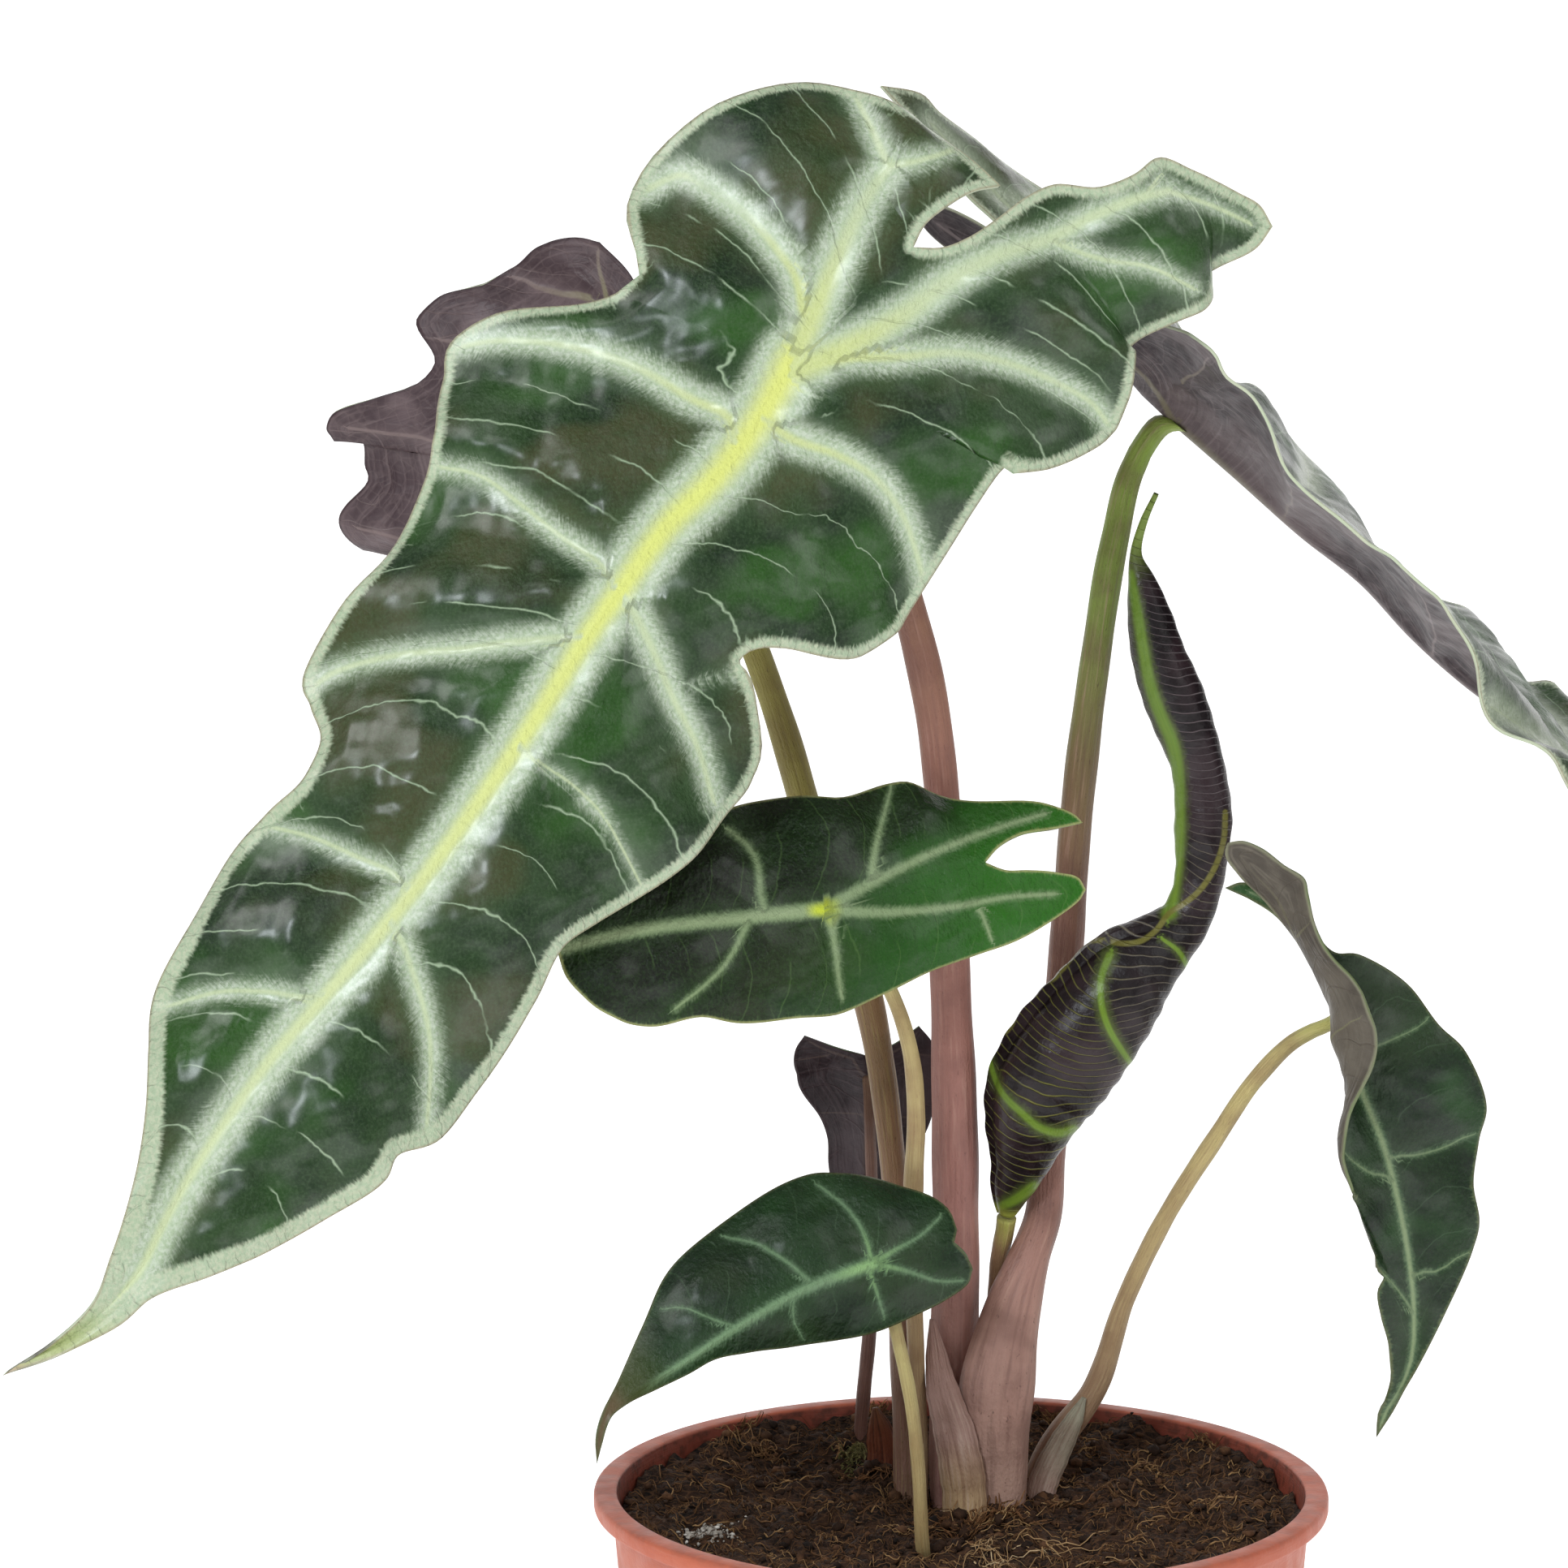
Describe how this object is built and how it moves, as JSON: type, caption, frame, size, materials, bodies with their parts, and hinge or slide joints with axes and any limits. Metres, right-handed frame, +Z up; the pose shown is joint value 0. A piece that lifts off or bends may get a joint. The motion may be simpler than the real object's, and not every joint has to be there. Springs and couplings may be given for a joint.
{
  "type": "potted plant",
  "caption": "Young African mask plant with arrow-shaped, pale-veined leaves on upright stalks, in a tapered nursery pot of peat.",
  "frame": {"origin": "middle of the pot's underside", "axes": "+Z up, -Y towards the side with the large leaf's upper face, +X to the right seen from there"},
  "size_m": [0.2781, 0.1424, 0.3238],
  "materials": {
    "pink_brown_stalk": "satin",
    "olive_stalk": "satin",
    "pink_taupe_stalk": "satin",
    "straw_stalk": "satin",
    "pale_yellow_stalk": "satin",
    "tan_stalk": "satin",
    "brown_stalk": "satin",
    "dark_green_blade": "glossy leaf, pale veins",
    "purple_blade": "satin purple underside",
    "rolled_leaf": "satin, near black",
    "lime_stalk": "satin",
    "pale_sheath": "dry, papery",
    "papery_sheath": "dry, papery",
    "brown_scale": "dry, papery",
    "corm": "rough, brown",
    "peat": "rough, fibrous",
    "terracotta_plastic": "satin"
  },
  "bodies": {
    "root": {"pot": "terracotta_plastic", "soil": "peat", "corm": "corm", "hero_stalk": "pink_brown_stalk", "hero_blade": "dark_green_blade", "back_stalk": "olive_stalk", "back_blade": "purple_blade", "right_stalk": "pink_taupe_stalk", "right_blade": "purple_blade", "middle_stalk": "straw_stalk", "middle_blade": "dark_green_blade", "front_stalk": "pale_yellow_stalk", "front_blade": "dark_green_blade", "side_stalk": "tan_stalk", "side_blade": "dark_green_blade", "small_stalk": "brown_stalk", "small_blade": "purple_blade", "new_leaf_stalk": "lime_stalk", "new_leaf_roll": "rolled_leaf", "old_sheath": "pale_sheath", "side_sheath": "papery_sheath", "brown_scale": "brown_scale"}
  },
  "joints": []
}
